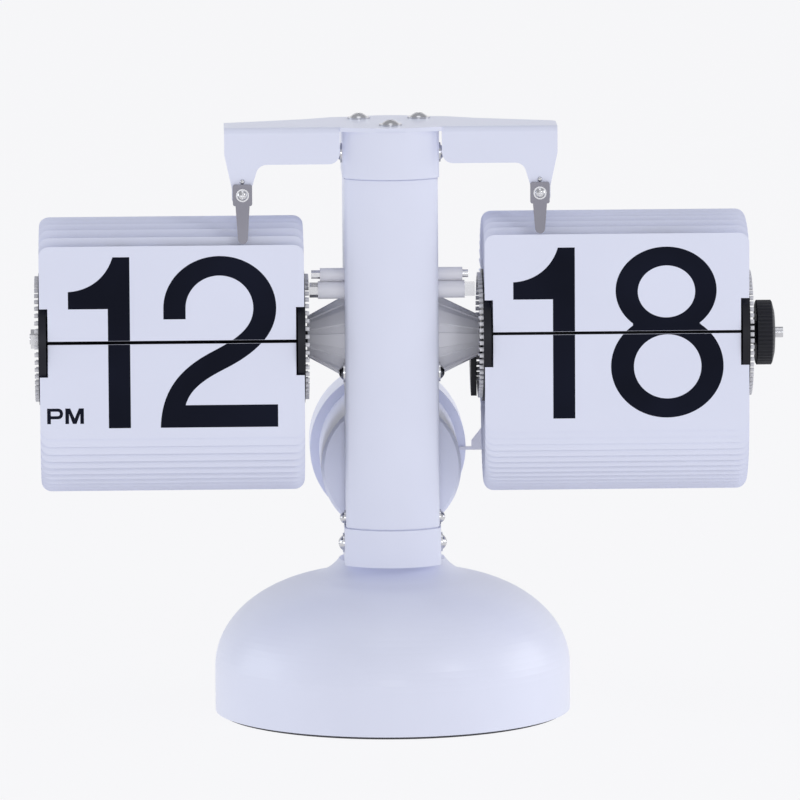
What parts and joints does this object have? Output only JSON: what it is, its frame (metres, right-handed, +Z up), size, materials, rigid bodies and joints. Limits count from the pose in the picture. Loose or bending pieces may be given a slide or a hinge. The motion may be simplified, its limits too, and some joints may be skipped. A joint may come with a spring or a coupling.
{
  "type": "flip number clock",
  "caption": "Desk flip clock with split-leaf hour and minute drums either side of a white column on a domed base, under a bracket with two leaf fingers.",
  "frame": {"origin": "centre of the base underside, on the surface the clock stands on", "axes": "+X to the reader's right along the drum shaft, -Y to the front, +Z up"},
  "size_m": [0.2085, 0.1058, 0.1664],
  "materials": {
    "white_paint": "satin",
    "pad_rubber": "matte",
    "zinc_steel": "satin",
    "iron": "matte",
    "bright_steel": "polished",
    "finger_steel": "satin",
    "grey_plastic": "satin",
    "black_plastic": "satin",
    "ear_plastic": "satin",
    "leaf_plastic": "satin",
    "brass": "satin",
    "motor_can": "satin",
    "board": "satin",
    "cell_wrap": "gloss"
  },
  "bodies": {
    "root": {"foot_pad": "pad_rubber", "base_plate": "zinc_steel", "base_ballast": "iron", "base_dome": "white_paint", "base_screws": "bright_steel", "column_bolts": "bright_steel", "column_cover": "white_paint", "column_foot": "white_paint", "column_head": "white_paint", "column_side_screws": "bright_steel", "rear_cover": "white_paint", "top_arm": "white_paint", "top_arm_screws": "bright_steel", "finger_left": "finger_steel", "finger_right": "finger_steel", "finger_screws": "bright_steel", "finger_pins": "bright_steel", "funnel_left": "grey_plastic", "funnel_right": "grey_plastic", "spacer_posts": "grey_plastic", "post_nuts": "bright_steel", "leaf_guard": "black_plastic", "leaf_tab": "grey_plastic", "gear_plate_left": "zinc_steel", "gear_plate_right": "zinc_steel", "gear_pillars": "brass", "shaft_bushes": "brass", "motor": "motor_can", "circuit_board": "board", "minute_leaves_top": "leaf_plastic", "minute_leaves_rear": "leaf_plastic", "minute_leaves_lower": "leaf_plastic", "hour_leaves_top": "leaf_plastic", "hour_leaves_rear": "leaf_plastic", "hour_leaves_lower": "leaf_plastic", "battery_barrel": "white_paint", "cell_cradle": "grey_plastic", "battery_cell": "cell_wrap", "contact_spring": "bright_steel"},
    "minute_drum": {"main_shaft": "bright_steel", "shaft_nut": "bright_steel", "set_knob": "black_plastic", "minute_disc_inner": "black_plastic", "minute_disc_outer": "black_plastic", "minute_hub": "black_plastic", "minute_ears": "ear_plastic", "minute_wheel": "brass", "minute_pinion": "brass"},
    "hour_drum": {"hour_disc_inner": "black_plastic", "hour_disc_outer": "black_plastic", "hour_hub": "black_plastic", "hour_ears": "ear_plastic", "hour_wheel": "brass"},
    "lay_arbor": {"lay_shaft": "bright_steel", "lay_wheel": "brass", "lay_pinion": "brass"},
    "motor_rotor": {"motor_pinion": "brass"},
    "minute_flip": {"minute_flip_leaf": "leaf_plastic"},
    "hour_flip": {"hour_flip_leaf": "leaf_plastic"},
    "battery_cap": {"battery_cap": "white_paint"}
  },
  "joints": [
    {"name": "minute_drum_spin", "type": "hinge", "parent": "root", "child": "minute_drum", "pos_m": [0.0619, 0, 0.105], "axis": [1, 0, 0], "continuous": true},
    {"name": "hour_drum_spin", "type": "hinge", "parent": "root", "child": "hour_drum", "pos_m": [-0.0605, 0, 0.105], "axis": [1, 0, 0], "continuous": true},
    {"name": "lay_arbor_spin", "type": "hinge", "parent": "root", "child": "lay_arbor", "pos_m": [0, 0, 0.117], "axis": [1, 0, 0], "continuous": true},
    {"name": "motor_spin", "type": "hinge", "parent": "root", "child": "motor_rotor", "pos_m": [0.0055, -0.00742, 0.09758], "axis": [1, 0, 0], "continuous": true},
    {"name": "minute_leaf_flip", "type": "hinge", "parent": "root", "child": "minute_flip", "pos_m": [0.0619, -0.01716, 0.10835], "axis": [1, 0, 0], "range_deg": [0, 168]},
    {"name": "hour_leaf_flip", "type": "hinge", "parent": "root", "child": "hour_flip", "pos_m": [-0.0605, -0.01737, 0.10705], "axis": [1, 0, 0], "range_deg": [0, 168]},
    {"name": "battery_cap_pull", "type": "slide", "parent": "root", "child": "battery_cap", "axis": [0, 1, 0], "range_m": [0, 0.015]}
  ],
  "couplings": [
    {"joint": "motor_spin", "follows": "minute_drum_spin", "ratio": -6},
    {"joint": "lay_arbor_spin", "follows": "minute_drum_spin", "ratio": -0.25},
    {"joint": "hour_drum_spin", "follows": "minute_drum_spin", "ratio": 0.041667}
  ]
}
